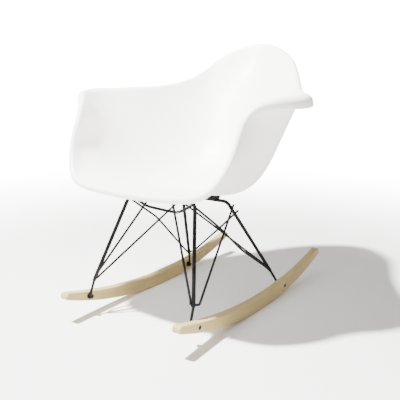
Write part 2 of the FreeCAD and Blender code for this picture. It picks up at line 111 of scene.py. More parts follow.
# %% Patchiness: slow drift of tone and of gloss
def make_patchiness():
    g, gin, gout = group("slow patchiness",
                         [("Place", "NodeSocketVector", None), ("Scale", "NodeSocketFloat", 8.0),
                          ("From", "NodeSocketColor", (0.5, 0.5, 0.5, 1)),
                          ("To", "NodeSocketColor", (0.6, 0.6, 0.6, 1)),
                          ("Rough Low", "NodeSocketFloat", 0.4), ("Rough High", "NodeSocketFloat", 0.5)],
                         [("Tone", "NodeSocketColor"), ("Roughness", "NodeSocketFloat")])
    broad = add(g, "ShaderNodeTexNoise", Detail=4.0, Roughness=0.55)
    fine = add(g, "ShaderNodeTexNoise", Detail=6.0, Roughness=0.65)
    faster = add(g, "ShaderNodeMath", operation="MULTIPLY")
    faster.inputs[1].default_value = 9.0
    mix = add(g, "ShaderNodeMix", data_type="RGBA")
    spread = add(g, "ShaderNodeMapRange", interpolation_type="SMOOTHSTEP")
    spread.inputs["From Min"].default_value = 0.3
    spread.inputs["From Max"].default_value = 0.7
    link(g, gin.outputs["Place"], broad.inputs["Vector"])
    link(g, gin.outputs["Place"], fine.inputs["Vector"])
    link(g, gin.outputs["Scale"], broad.inputs["Scale"])
    link(g, gin.outputs["Scale"], faster.inputs[0])
    link(g, faster.outputs[0], fine.inputs["Scale"])
    link(g, broad.outputs["Fac"], mix.inputs["Factor"])
    link(g, gin.outputs["From"], mix.inputs["A"])
    link(g, gin.outputs["To"], mix.inputs["B"])
    link(g, fine.outputs["Fac"], spread.inputs["Value"])
    link(g, gin.outputs["Rough Low"], spread.inputs["To Min"])
    link(g, gin.outputs["Rough High"], spread.inputs["To Max"])
    link(g, mix.outputs["Result"], gout.inputs["Tone"])
    link(g, spread.outputs["Result"], gout.inputs["Roughness"])
    return g


# %% Fine grain: the orange peel of powder, moulded plastic and rubber
def make_fine_grain():
    g, gin, gout = group("fine grain of bumps",
                         [("Place", "NodeSocketVector", None), ("Grain", "NodeSocketFloat", 900.0)],
                         [("Height", "NodeSocketFloat")])
    cells = add(g, "ShaderNodeTexVoronoi", feature="SMOOTH_F1")
    ripple = add(g, "ShaderNodeTexNoise", Detail=3.0)
    total = add(g, "ShaderNodeMath", operation="ADD")
    link(g, gin.outputs["Place"], cells.inputs["Vector"])
    link(g, gin.outputs["Place"], ripple.inputs["Vector"])
    link(g, gin.outputs["Grain"], cells.inputs["Scale"])
    link(g, gin.outputs["Grain"], ripple.inputs["Scale"])
    link(g, cells.outputs["Distance"], total.inputs[0])
    link(g, ripple.outputs["Fac"], total.inputs[1])
    link(g, total.outputs[0], gout.inputs["Height"])
    return g


PATCHES, GRAIN = make_patchiness(), make_fine_grain()
print("shared effects:", PATCHES.name, "and", GRAIN.name)


# %% A finish from the two effects
def plain_finish(name, tones, rough, grain, bump, patch_scale, **shader):
    """A moulded, painted or plated finish: two tones, two roughnesses, bumps of (strength, height).

    Shader values that never vary go straight on the shader's own sockets.
    """
    m = bpy.data.materials.new(name)
    m.use_nodes = True
    t = m.node_tree
    p = t.nodes["Principled BSDF"]
    place = add(t, "ShaderNodeTexCoord")
    drift = add(t, "ShaderNodeGroup", node_tree=PATCHES)
    drift.inputs["Scale"].default_value = patch_scale
    drift.inputs["From"].default_value = (*tones[0], 1)
    drift.inputs["To"].default_value = (*tones[1], 1)
    drift.inputs["Rough Low"].default_value = rough[0]
    drift.inputs["Rough High"].default_value = rough[1]
    bumps = add(t, "ShaderNodeGroup", node_tree=GRAIN)
    bumps.inputs["Grain"].default_value = grain
    relief = add(t, "ShaderNodeBump", Strength=bump[0], Distance=bump[1])
    link(t, place.outputs["Object"], drift.inputs["Place"])
    link(t, place.outputs["Object"], bumps.inputs["Place"])
    link(t, drift.outputs["Tone"], p.inputs["Base Color"])
    link(t, drift.outputs["Roughness"], p.inputs["Roughness"])
    link(t, bumps.outputs["Height"], relief.inputs["Height"])
    link(t, relief.outputs["Normal"], p.inputs["Normal"])
    for key, value in shader.items():
        p.inputs[key.replace("_", " ")].default_value = value
    return m


# %% [markdown]
# The bucket is dyed right through, so its white is warm and even, with a satin skin that the
# mould leaves slightly pebbled. The rods are powder coated: near black, with a soft broad
# gloss. The bolts are blackened steel, which shows metal where it catches light.

# %% Plastic, powder coat, steel, brass and rubber
SHELL_WHITE = plain_finish("moulded_white", ((0.90, 0.895, 0.875), (0.93, 0.925, 0.91)), (0.36, 0.46),
                           grain=700.0, bump=(0.10, 0.0004), patch_scale=5.0,
                           Coat_Weight=0.08, Coat_Roughness=0.3, Specular_IOR_Level=0.45)
POWDER = plain_finish("powder_black", ((0.0030, 0.0029, 0.0027), (0.0060, 0.0056, 0.0052)), (0.40, 0.55),
                      grain=1400.0, bump=(0.25, 0.0003), patch_scale=30.0, Specular_IOR_Level=0.14)
BLACK_STEEL = plain_finish("blackened_steel", ((0.010, 0.010, 0.011), (0.022, 0.022, 0.023)), (0.34, 0.50),
                           grain=2600.0, bump=(0.2, 0.0002), patch_scale=90.0, Metallic=0.85)
BRASS = plain_finish("turned_brass", ((0.52, 0.40, 0.18), (0.66, 0.52, 0.26)), (0.22, 0.36),
                     grain=3000.0, bump=(0.15, 0.0002), patch_scale=120.0, Metallic=1.0)
RUBBER = plain_finish("mount_rubber", ((0.005, 0.005, 0.005), (0.010, 0.010, 0.010)), (0.62, 0.80),
                      grain=1100.0, bump=(0.35, 0.0004), patch_scale=40.0, Specular_IOR_Level=0.2)
print("finishes:", [m.name for m in (SHELL_WHITE, POWDER, BLACK_STEEL, BRASS, RUBBER)])

# %% [markdown]
# The rockers are bent maple. The board's fibres follow the curve, so straight noise would look
# sawn out of a plank. The finish first turns each point into a place along the bend, across
# it and through it. Long, thin noise laid out in those three directions then follows the bend:
# broad streaks, narrow growth lines and short dark pores.

# %% Bent maple
ROCKER_RADIUS = 1.100
MAPLE_DARK, MAPLE_MIDDLE, MAPLE_PALE = (0.35, 0.255, 0.100, 1), (0.42, 0.32, 0.135, 1), (0.48, 0.375, 0.170, 1)
PORE_TINT = (0.78, 0.70, 0.58, 1)


def make_along_the_bend():
    """Where a point is on the bent board: across, along the curve, and through its height."""
    g, gin, gout = group("along the bend",
                         [("Place", "NodeSocketVector", None), ("Radius", "NodeSocketFloat", ROCKER_RADIUS)],
                         [("Board Place", "NodeSocketVector")])
    parts = add(g, "ShaderNodeSeparateXYZ")
    below = add(g, "ShaderNodeMath", operation="SUBTRACT")
    turn = add(g, "ShaderNodeMath", operation="ARCTAN2")
    run = add(g, "ShaderNodeMath", operation="MULTIPLY")
    square_y = add(g, "ShaderNodeMath", operation="MULTIPLY")
    square_z = add(g, "ShaderNodeMath", operation="MULTIPLY_ADD")
    out_from = add(g, "ShaderNodeMath", operation="SQRT")
    place = add(g, "ShaderNodeCombineXYZ")
    link(g, gin.outputs["Place"], parts.inputs[0])
    link(g, gin.outputs["Radius"], below.inputs[0])
    link(g, parts.outputs["Z"], below.inputs[1])
    link(g, parts.outputs["Y"], turn.inputs[0])
    link(g, below.outputs[0], turn.inputs[1])
    link(g, turn.outputs[0], run.inputs[0])
    link(g, gin.outputs["Radius"], run.inputs[1])
    link(g, parts.outputs["Y"], square_y.inputs[0])
    link(g, parts.outputs["Y"], square_y.inputs[1])
    link(g, below.outputs[0], square_z.inputs[0])
    link(g, below.outputs[0], square_z.inputs[1])
    link(g, square_y.outputs[0], square_z.inputs[2])
    link(g, square_z.outputs[0], out_from.inputs[0])
    link(g, parts.outputs["X"], place.inputs["X"])
    link(g, run.outputs[0], place.inputs["Y"])
    link(g, out_from.outputs[0], place.inputs["Z"])
    link(g, place.outputs[0], gout.inputs["Board Place"])
    return g


def streaks(t, board, across, along, through, detail):
    """Noise drawn out along the board; the three numbers are how fine it is each way."""
    stretch = add(t, "ShaderNodeVectorMath", operation="MULTIPLY")
    stretch.inputs[1].default_value = (across, along, through)
    noise = add(t, "ShaderNodeTexNoise", Scale=1.0, Detail=detail, Roughness=0.6)
    link(t, board, stretch.inputs[0])
    link(t, stretch.outputs[0], noise.inputs["Vector"])
    return noise.outputs["Fac"]


def bent_maple():
    m = bpy.data.materials.new("bent_maple")
    m.use_nodes = True
    t = m.node_tree
    p = t.nodes["Principled BSDF"]
    bend = add(t, "ShaderNodeGroup", node_tree=make_along_the_bend())
    link(t, add(t, "ShaderNodeTexCoord").outputs["Object"], bend.inputs["Place"])
    board = bend.outputs["Board Place"]
    broad = streaks(t, board, 60, 3.0, 110, 4.0)
    growth = streaks(t, board, 240, 5.0, 420, 3.0)
    pores = streaks(t, board, 1500, 60, 1700, 2.0)
    tone = add(t, "ShaderNodeValToRGB")
    first, last = tone.color_ramp.elements[0], tone.color_ramp.elements[1]
    first.position, first.color = 0.30, MAPLE_DARK
    last.position, last.color = 0.72, MAPLE_PALE
    tone.color_ramp.elements.new(0.52).color = MAPLE_MIDDLE
    both = add(t, "ShaderNodeMix", data_type="FLOAT")
    both.inputs["Factor"].default_value = 0.45
    link(t, broad, both.inputs["A"])
    link(t, growth, both.inputs["B"])
    link(t, both.outputs["Result"], tone.inputs["Fac"])
    pits = add(t, "ShaderNodeMapRange")
    pits.inputs["From Min"].default_value = 0.60
    pits.inputs["From Max"].default_value = 0.78
    link(t, pores, pits.inputs["Value"])
    speck = add(t, "ShaderNodeMix", data_type="RGBA", blend_type="MULTIPLY")
    speck.inputs["B"].default_value = PORE_TINT
    link(t, pits.outputs["Result"], speck.inputs["Factor"])
    link(t, tone.outputs["Color"], speck.inputs["A"])
    link(t, speck.outputs["Result"], p.inputs["Base Color"])
    gloss = add(t, "ShaderNodeMapRange")
    gloss.inputs["To Min"].default_value = 0.40
    gloss.inputs["To Max"].default_value = 0.58
    link(t, growth, gloss.inputs["Value"])
    link(t, gloss.outputs["Result"], p.inputs["Roughness"])
    sunk = add(t, "ShaderNodeMath", operation="MULTIPLY_ADD")
    sunk.inputs[1].default_value = -1.0
    link(t, pits.outputs["Result"], sunk.inputs[0])
    link(t, growth, sunk.inputs[2])
    relief = add(t, "ShaderNodeBump", Strength=0.18, Distance=0.0004)
    link(t, sunk.outputs[0], relief.inputs["Height"])
    link(t, relief.outputs["Normal"], p.inputs["Normal"])
    p.inputs["Specular IOR Level"].default_value = 0.25
    p.inputs["Coat Weight"].default_value = 0.06
    p.inputs["Coat Roughness"].default_value = 0.35
    return m


MAPLE = bent_maple()
print("wood:", MAPLE.name)

# %% [markdown]
# ## Pieces that the engineering model already shapes well
# The rockers, the fasteners, the foot stems, the rubber mounts and the mount plates keep their
# own meshes, since their bores, rounded edges and hexagons are exact. They only need their
# finish. The shell and the rods get one too, although new pieces take their place further on.

# %% Finish the kept nodes
FINISH_OF_SLOT = {"shell": SHELL_WHITE, "rocker_wood": MAPLE, "frame_steel": POWDER,
                  "fastener_steel": BLACK_STEEL, "insert_metal": BRASS, "mount_rubber": RUBBER}
SLOT_OF_NODE = {s["node"]: s["material_slot"] for s in frame["record"]["subparts"]}
for node_name, node in frame["nodes"].items():
    node.data.materials.clear()
    node.data.materials.append(FINISH_OF_SLOT[SLOT_OF_NODE[node_name]])
print("nodes given a finish:", len(frame["nodes"]))


# %% Helpers for new pieces
def mesh_object(name, points, faces, edges=()):
    mesh = bpy.data.meshes.new(name)
    mesh.from_pydata([tuple(p) for p in points], list(edges), list(faces))
    mesh.update()
    obj = bpy.data.objects.new(name, mesh)
    SCENE.objects.link(obj)
    return obj


def settle(obj, node=None):
    """Gives a finished piece to the chair: it rides on the one body, and the node it stands for is hidden and
    its box measured.
    """
    for poly in obj.data.polygons:
        poly.use_smooth = True
    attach(obj, "root")
    if node:
        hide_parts(node)
        low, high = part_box(node)
        co = np.array([v.co for v in obj.data.vertices])
        over = max((np.array(low) - co.min(0)).max(), (co.max(0) - np.array(high)).max())
        print("%-24s %6d faces, past its node's box by %.2f mm" % (obj.name, len(obj.data.polygons), over / MM))
    return obj


# %% [markdown]
# ## The bucket
# The real bucket is pressed in one go: a seat pan that sweeps up into the back and the arms,
# with its rim rolled outward for stiffness. A few stations round the rim are enough to say
# this. Each gives the rim's edge, the way the wall sets off into the bucket, where it lands on
# the seat and how large the roll is. A smooth closed curve through the stations gives every
# column of the surface, and each column runs from the edge, over the roll, down the wall and
# out onto the pan. Splines are used both ways, so the surface has no flats or creases.

# %% Rim stations, in millimetres
STATIONS = [
    ((0, 292, 673), (0, -0.37, -0.93), 0, 290, 110, 9, 4),
    ((94, 256, 647), (-0.10, -0.34, -0.93), 20, 270, 115, 9, 4),
    ((144, 217, 606), (-0.18, -0.28, -0.94), 36, 230, 120, 9, 4),
    ((181, 160, 568), (-0.24, -0.20, -0.95), 50, 205, 125, 10, 5),
    ((219, 92, 548), (-0.28, -0.10, -0.955), 62, 188, 130, 11, 6),
    ((253, 35, 539), (-0.33, 0.00, -0.94), 72, 178, 135, 14, 8),
    ((288, -20, 532), (-0.40, 0.08, -0.91), 80, 175, 140, 16, 10),
    ((315, -70, 526), (-0.43, 0.16, -0.89), 87, 172, 142, 18, 12),
    ((315, -126, 523), (-0.38, 0.34, -0.86), 92, 166, 145, 17, 11),
    ((291, -176, 522), (-0.28, 0.56, -0.78), 97, 150, 146, 14, 9),
    ((257, -211, 514), (-0.14, 0.80, -0.58), 102, 132, 148, 10, 6),
    ((240, -236, 484), (-0.03, 0.92, -0.38), 106, 122, 148, 8, 4),
    ((236, -258, 438), (0.00, 0.96, -0.27), 110, 117, 147, 7, 4),
    ((224, -279, 388), (0.00, 0.98, -0.21), 116, 110, 140, 7, 4),
    ((198, -299, 347), (-0.06, 0.98, -0.19), 127, 88, 108, 8, 4),
    ((156, -313, 327), (-0.04, 0.98, -0.18), 143, 65, 70, 9, 4),
    ((82, -319, 320), (-0.02, 0.98, -0.17), 162, 50, 45, 9, 4),
    ((0, -321, 318), (0, 0.98, -0.17), 180, 45, 40, 9, 4),
]
SEAT_CENTRE = np.array((0, -95.0, 306.0))
SEAT_SLOPE, FLANGE_SLOPE = math.radians(9), math.radians(25)
SEAT_RING, SHELL_WALL = 60.0, 4.5
COLUMNS, FINE_COLUMNS = 96, 336
ROLL_STEPS, WALL_STEPS, FAIRING_ROUNDS = 8, 16, 30
PAN_RINGS, BEAD_STEPS = 12, 8


# %% Smooth curves as matrices
def closed_spline(count, samples):
    """The matrix that turns values at evenly spaced stations into a smooth closed curve."""
    solve = np.zeros((count, count))
    for i in range(count):
        solve[i, i] = 4 / 6
        solve[i, i - 1] += 1 / 6
        solve[i, (i + 1) % count] += 1 / 6
    reach = np.zeros((samples, count))
    for k in range(samples):
        u = k * count / samples
        i, f = int(u), u - int(u)
        weights = ((1 - f) ** 3 / 6, (3 * f ** 3 - 6 * f * f + 4) / 6,
                   (-3 * f ** 3 + 3 * f * f + 3 * f + 1) / 6, f ** 3 / 6)
        for j, w in enumerate(weights):
            reach[k, (i - 1 + j) % count] += w
    return reach @ np.linalg.inv(solve)


def clamped_spline(count, params):
    """The matrix of a cubic spline that starts and ends on its first and last control points."""
    knots = np.array([0.0] * 3 + list(range(count - 2)) + [count - 3.0] * 3)
    out = np.zeros((len(params), count))
    for row, u in enumerate(params):
        u = min(u, count - 3 - 1e-9)
        basis = np.where((knots[:-1] <= u) & (u < knots[1:]), 1.0, 0.0)
        for degree in (1, 2, 3):
            nxt = np.zeros(len(knots) - 1 - degree)
            for i in range(len(nxt)):
                a, b = knots[i + degree] - knots[i], knots[i + degree + 1] - knots[i + 1]
                left = (u - knots[i]) / a * basis[i] if a > 0 else 0.0
                right = (knots[i + degree + 1] - u) / b * basis[i + 1] if b > 0 else 0.0
                nxt[i] = left + right
            basis = nxt
        out[row] = basis
    return out


def unit(v):
    return v / np.linalg.norm(v, axis=-1, keepdims=True)


# %% The sitter's side of the bucket, as rows of control points
def all_round(pick, odd=False):
    """A station value for the left half, mirrored to the right half, then made smooth."""
    half = [pick(s) for s in STATIONS]
    back = [(-v if odd else v) for v in half[-2:0:-1]]
    return closed_spline(len(half + back), COLUMNS) @ np.array(half + back, float)


def bucket_rows():
    """Control points from the rim's edge, over the roll and down the wall to the seat, all round."""
    lip = np.stack([all_round(lambda s, i=i: s[0][i], i == 0) for i in range(3)], 1)
    way = unit(np.stack([all_round(lambda s, i=i: s[1][i], i == 0) for i in range(3)], 1))
    turn = np.stack([all_round(lambda s: math.sin(math.radians(s[2])), True),
                     all_round(lambda s: math.cos(math.radians(s[2])))], 1)
    wall_pull, seat_pull = all_round(lambda s: s[3])[:, None], all_round(lambda s: s[4])[:, None]
    roll, flange = all_round(lambda s: s[5])[:, None], all_round(lambda s: s[6])[:, None]
    out = unit(np.cross(np.roll(lip, -1, 0) - np.roll(lip, 1, 0), way))
    out[(out * (lip - (0, 0, 420))).sum(1) < 0] *= -1
    side_run = roll * math.cos(FLANGE_SLOPE) + flange * math.sin(FLANGE_SLOPE)
    up_run = roll * math.sin(FLANGE_SLOPE) - flange * math.cos(FLANGE_SLOPE)
    centre = lip - out * side_run + way * up_run
    rows = [lip]
    for step in range(ROLL_STEPS):
        a = FLANGE_SLOPE + (math.pi - FLANGE_SLOPE) * step / (ROLL_STEPS - 1)
        rows.append(centre + out * roll * math.cos(a) - way * roll * math.sin(a))
    fore = np.array((0, math.cos(SEAT_SLOPE), -math.sin(SEAT_SLOPE)))
    radial = unit(np.outer(turn[:, 0], (1, 0, 0)) + np.outer(turn[:, 1], fore))
    p0 = rows[-1]
    p1, p3 = p0 + way * wall_pull, SEAT_CENTRE + radial * SEAT_RING
    p2 = p3 + radial * seat_pull
    for step in range(1, WALL_STEPS + 1):
        f = step / WALL_STEPS
        rows.append(p0 * (1 - f) ** 3 + p1 * 3 * f * (1 - f) ** 2 + p2 * 3 * f * f * (1 - f) + p3 * f ** 3)
    below_roll = ROLL_STEPS + 1
    for _ in range(FAIRING_ROUNDS):
        for r in range(below_roll + 1, len(rows) - 1):
            ease = min(1.0, (r - below_roll) / 4) * 0.5
            rows[r] = rows[r] + ((np.roll(rows[r], 1, 0) + np.roll(rows[r], -1, 0)) / 2 - rows[r]) * ease
    return np.array(rows)


CONTROL_ROWS = bucket_rows()
print("bucket control net:", CONTROL_ROWS.shape)


# %% [markdown]
# The wall is the same everywhere, so the outer side is the inner side moved along its own
# normal. The cut edge of a real moulding is eased with a scraper, so the two sides are joined
# by a half round of half the wall's thickness, kept inside the moulding's full size.

# %% Build the bucket
def build_bucket():
    """The finished shell: both sides of the wall, the half round edge and the middle of the pan."""
    params = np.concatenate([np.linspace(0.30, 7, 30), np.linspace(7, len(CONTROL_ROWS) - 3, 60)[1:]])
    across = closed_spline(COLUMNS, FINE_COLUMNS)
    surface = np.einsum("vr,rcx->vcx", clamped_spline(len(CONTROL_ROWS), params), CONTROL_ROWS)
    surface = np.einsum("kc,vcx->vkx", across, surface)
    edge = np.einsum("kc,cx->kx", across, CONTROL_ROWS[0])
    half_wall = SHELL_WALL / 2
    first = edge + unit(surface[0] - edge) * half_wall
    surface = np.concatenate([first[None], surface])
    middle = surface[-1].mean(0)
    rings = [middle + (surface[-1] - middle) * (1 - s / PAN_RINGS) for s in range(1, PAN_RINGS)]
    surface = np.concatenate([surface, rings])
    sideways = np.roll(surface, -1, 1) - np.roll(surface, 1, 1)
    downward = np.gradient(surface, axis=0)
    normal = unit(np.cross(sideways, downward))
    up = np.array((0, math.sin(SEAT_SLOPE), math.cos(SEAT_SLOPE)))
    if normal[-1, 0] @ up > 0:
        normal = -normal
    normal[-PAN_RINGS:] = -up
    far_side = surface + normal * SHELL_WALL
    inward = unit(edge - surface[0])
    bead = []
    for step in range(1, BEAD_STEPS):
        a = math.pi * step / BEAD_STEPS
        bead.append((surface[0] + far_side[0]) / 2 - normal[0] * half_wall * math.cos(a)
                    + inward * half_wall * math.sin(a) * 0.98)
    rows = np.concatenate([surface[::-1], bead, far_side]) * MM
    points = [middle * MM] + list(rows.reshape(-1, 3)) + [(middle - up * SHELL_WALL) * MM]
    k, last = FINE_COLUMNS, len(points) - 1
    faces = []
    for r in range(len(rows) - 1):
        for c in range(k):
            a, b = 1 + r * k + c, 1 + r * k + (c + 1) % k
            faces.append((a, b, b + k, a + k))
    faces += [(0, 1 + (c + 1) % k, 1 + c) for c in range(k)]
    tail = 1 + (len(rows) - 1) * k
    faces += [(last, tail + c, tail + (c + 1) % k) for c in range(k)]
    return mesh_object("moulded_bucket", points, faces)


def face_outward(obj):
    """Turns the faces so that they look out of the material."""
    bm = bmesh.new()
    bm.from_mesh(obj.data)
    bmesh.ops.recalc_face_normals(bm, faces=bm.faces)
    if bm.calc_volume(signed=True) < 0:
        bmesh.ops.reverse_faces(bm, faces=bm.faces)
    print(obj.name, "volume in litres:", round(bm.calc_volume(signed=True) * 1000, 3))
    bm.to_mesh(obj.data)
    bm.free()
    return obj


bucket = face_outward(build_bucket())
bucket.data.materials.append(SHELL_WHITE)
settle(bucket, "seat_shell")

# %% [markdown]
# ## The wire base
# The base is bent from round steel rod and welded. In Blender a rod is a path with a round
# section drawn along it, which is what Geometry Nodes do best: the path goes in as a line of
# points, each with the rod's radius there, and the tube comes out. The radius can change on the
# way, so the sheared ends are slightly rounded.

# %% The rod tool
ROD_SIDES = 28


def tree(name, inputs):
    """An empty Geometry Nodes tree with a geometry in, a geometry out and named inputs."""
    t = bpy.data.node_groups.new(name, "GeometryNodeTree")
    t.interface.new_socket("Geometry", in_out="INPUT", socket_type="NodeSocketGeometry")
    for label, kind, value in inputs:
        s = t.interface.new_socket(label, in_out="INPUT", socket_type=kind)
        if value is not None:
            s.default_value = value
    t.interface.new_socket("Geometry", in_out="OUTPUT", socket_type="NodeSocketGeometry")
    return t, t.nodes.new("NodeGroupInput"), t.nodes.new("NodeGroupOutput")


def close_tree(t, gin, gout, made):
    """Every tree ends the same way: real geometry, smooth, in its material."""
    real = add(t, "GeometryNodeRealizeInstances")
    smooth = add(t, "GeometryNodeSetShadeSmooth")
    paint = add(t, "GeometryNodeSetMaterial")
    link(t, made, real.inputs[0])
    link(t, real.outputs[0], smooth.inputs[0])
    link(t, smooth.outputs[0], paint.inputs[0])
    link(t, gin.outputs["Material"], paint.inputs["Material"])
    link(t, paint.outputs[0], gout.inputs[0])
    return t


def rod_tool():
    t, gin, gout = tree("draw a rod", [("Sides", "NodeSocketInt", ROD_SIDES),
                                       ("Material", "NodeSocketMaterial", None)])
    curve = add(t, "GeometryNodeMeshToCurve")
    thick = add(t, "GeometryNodeInputNamedAttribute", data_type="FLOAT")
    thick.inputs["Name"].default_value = "rod_radius"
    ring = add(t, "GeometryNodeCurvePrimitiveCircle", Radius=1.0)
    tube = add(t, "GeometryNodeCurveToMesh")
    tube.inputs["Fill Caps"].default_value = True
    link(t, gin.outputs["Geometry"], curve.inputs[0])
    link(t, gin.outputs["Sides"], ring.inputs["Resolution"])
    link(t, curve.outputs[0], tube.inputs["Curve"])
    link(t, ring.outputs["Curve"], tube.inputs["Profile Curve"])
    link(t, thick.outputs["Attribute"], tube.inputs["Scale"])
    return close_tree(t, gin, gout, tube.outputs[0])


def run_tool(obj, tool, **values):
    """Runs a Geometry Nodes tool on an object and keeps the plain mesh that comes out."""
    mod = obj.modifiers.new(tool.name, "NODES")
    mod.node_group = tool
    ids = {i.name: i.identifier for i in tool.interface.items_tree if i.in_out == "INPUT"}
    for key, value in values.items():
        mod[ids[key.replace("_", " ")]] = value
    obj.update_tag()
    graph = bpy.context.evaluated_depsgraph_get()
    graph.update()
    made = bpy.data.meshes.new_from_object(obj.evaluated_get(graph), depsgraph=graph)
    obj.modifiers.clear()
    obj.data = made
    return obj


ROD_TOOL = rod_tool()
print("tool:", ROD_TOOL.name)


# %% Bent paths, in millimetres
ROD_STEP, CLOSEST = 4.0, 0.2
END_RUN, END_DROP = 1.4, 0.9


def bent_path(corners, radii):
    """Points along straight runs joined by true bends, as a bending jig leaves them."""
    pts = [np.array(p, float) for p in corners]
    line = [pts[0]]
    for i in range(1, len(pts) - 1):
        a, b = unit(pts[i - 1] - pts[i]), unit(pts[i + 1] - pts[i])
        turn = math.pi - math.acos(float(np.clip(a @ b, -1, 1)))
        run = radii[i - 1] * math.tan(turn / 2)
        half = unit(a + b)
        centre = pts[i] + half * radii[i - 1] / math.cos(turn / 2)
        steps = max(3, int(math.degrees(turn) / 6))
        first, second = pts[i] + a * run, pts[i] + b * run
        for s in range(steps + 1):
            f = s / steps
            chord = unit((first - centre) * math.sin((1 - f) * turn)
                         + (second - centre) * math.sin(f * turn))
            line.append(centre + chord * radii[i - 1])
    line.append(pts[-1])
    return np.array(line)


def rod_stations(line, radius):
    """Resamples a path to even steps and rounds the edge of both its cut ends."""
    points, radii = [], []
    length = np.concatenate([[0], np.cumsum(np.linalg.norm(np.diff(line, axis=0), axis=1))])
    total = length[-1]
    ends = [0, 0.25, 0.7, END_RUN]
    even = np.arange(ROD_STEP, total - ROD_STEP / 2, ROD_STEP)
    last = -1.0
    for s in sorted(set(ends + [total - e for e in ends] + list(even) + list(length))):
        if s - last < CLOSEST and s not in (0, total):
            continue
        last = s
        points.append([np.interp(s, length, line[:, i]) for i in range(3)])
        left = 1 - min(1.0, min(s, total - s) / END_RUN)
        radii.append(radius - END_DROP * (1 - math.sqrt(1 - left ** 2)))
    return np.array(points), radii


def draw_rod(name, corners, radii, radius, node):
    points, thick = rod_stations(bent_path(corners, radii), radius)
    obj = mesh_object(name, points * MM, [], [(i, i + 1) for i in range(len(points) - 1)])
    attr = obj.data.attributes.new("rod_radius", "FLOAT", "POINT")
    attr.data.foreach_set("value", [r * MM for r in thick])
    run_tool(obj, ROD_TOOL, Sides=ROD_SIDES, Material=POWDER)
    return settle(face_outward(obj), node)


# %% [markdown]
# Two leg frames carry the seat, each one rod bent into a bridge: up from the left foot, across
# under the seat and down to the right foot. Their lower ends stop above the rockers, where the
# thinner foot stems go on. A place on a leg is given as a fraction of the way up, so it stays
# on the leg if the leg is moved.

# %% The two leg frames
LEG_R, STRUT_R, BRACE_R = 4.5, 2.75, 3.5
LEG_BEND, WELD_BITE = 16.0, 0.1
TOUCH, BUTT = LEG_R + STRUT_R - WELD_BITE, LEG_R - WELD_BITE
FRONT_FOOT, FRONT_TOP = np.array((153.0, -288, 72)), np.array((96.0, -204, 303))
REAR_FOOT, REAR_TOP = np.array((144.0, 130, 42)), np.array((70.0, -18, 274))
FRONT_LINE, REAR_LINE = FRONT_TOP - FRONT_FOOT, REAR_TOP - REAR_FOOT
FRONT_END, REAR_END = 0.075, 0.10
MIRROR = np.array((-1.0, 1, 1))


def up_front(t):
    """The point a fraction of the way up the left front leg."""
    return FRONT_FOOT + FRONT_LINE * t


def up_rear(t):
    """The point a fraction of the way up the left rear leg."""
    return REAR_FOOT + REAR_LINE * t


def beside(at, axis, toward, gap):
    """The point at a distance from a rod's axis, on the side that faces toward."""
    axis = unit(np.array(axis, float))
    aim = np.array(toward, float)
    return at + unit(aim - axis * (aim @ axis)) * gap


for name, node, low, top in (("front_legs", "front_leg_frame", up_front(FRONT_END), FRONT_TOP),
                             ("rear_legs", "rear_leg_frame", up_rear(REAR_END), REAR_TOP)):
    draw_rod(name, [low, top, top * MIRROR, low * MIRROR], [LEG_BEND] * 2, LEG_R, node)

# %% [markdown]
# Eight thinner struts tie the frames together, and a dipping brace hangs between the tops of
# the front legs. The struts are placed by what they touch: an end either butts against a leg or
# lies beside it, one radius plus the other away. Each joint is noted for its weld on the way.

# %% Noting welds and drawing pairs
LEG_WELD, SIDE_WELD = 3.6, 3.4
welds = []


def weld(at, run, size):
    """Notes a weld bead on both sides of the chair: where it is, the way it runs and its size."""
    for side in (1, -1):
        m = np.array((side, 1, 1))
        welds.append((np.array(at) * m, unit(np.array(run, float)) * m, size))


def strut_pair(label, node, corners, radii):
    for side, flip in (("left", np.ones(3)), ("right", MIRROR)):
        draw_rod("%s_%s" % (side, label), [np.array(c) * flip for c in corners],
                 radii, STRUT_R, "%s_%s" % (side, node))


# %% The dipping brace
brace = [np.array(p, float) for p in ((84.5, -203.4, 294.8), (50, -196, 276), (0, -148, 258))]
draw_rod("dipping_brace", brace + [p * MIRROR for p in brace[:2]][::-1], [40, 30, 40], BRACE_R, "front_brace")
weld(brace[0], brace[1] - brace[0], 4.2)

# %% Front struts, from the front feet to the front bar
FRONT_JOINT = 0.095
front_side = (-0.45, -0.9, 0)
start = beside(up_front(FRONT_JOINT), FRONT_LINE, front_side, TOUCH)
turned = beside(up_front(0.135), FRONT_LINE, front_side, TOUCH + 0.6)
bar_touch = np.array((36.0, FRONT_TOP[1] - 3.8, FRONT_TOP[2] - 5.9))
strut_pair("front_tie", "front_strut", [start, turned, bar_touch], [12])
weld(beside(up_front(FRONT_JOINT), FRONT_LINE, front_side, LEG_R), FRONT_LINE, LEG_WELD)
weld(bar_touch + (0, 2.0, 2.6), (1, 0, 0), 3.2)

# %% Side struts, from the front feet up to the rear legs
REAR_HIGH_JOINT, PAST_JOINT = 0.93, 0.03
inner_side, outer_side = (0.3, 1, 0), (1, -0.1, 0.2)
start = beside(up_front(FRONT_JOINT), FRONT_LINE, inner_side, BUTT)
turned = beside(up_front(FRONT_JOINT), FRONT_LINE, inner_side, BUTT + 12) + (0, 0, 1.5)
target = beside(up_rear(REAR_HIGH_JOINT), REAR_LINE, outer_side, TOUCH)
strut_pair("side_tie_to_rear", "side_strut_to_rear",
           [start, turned, target + (target - turned) * PAST_JOINT], [5])
weld(start, FRONT_LINE, SIDE_WELD)
weld(beside(up_rear(REAR_HIGH_JOINT), REAR_LINE, outer_side, LEG_R), REAR_LINE, SIDE_WELD)

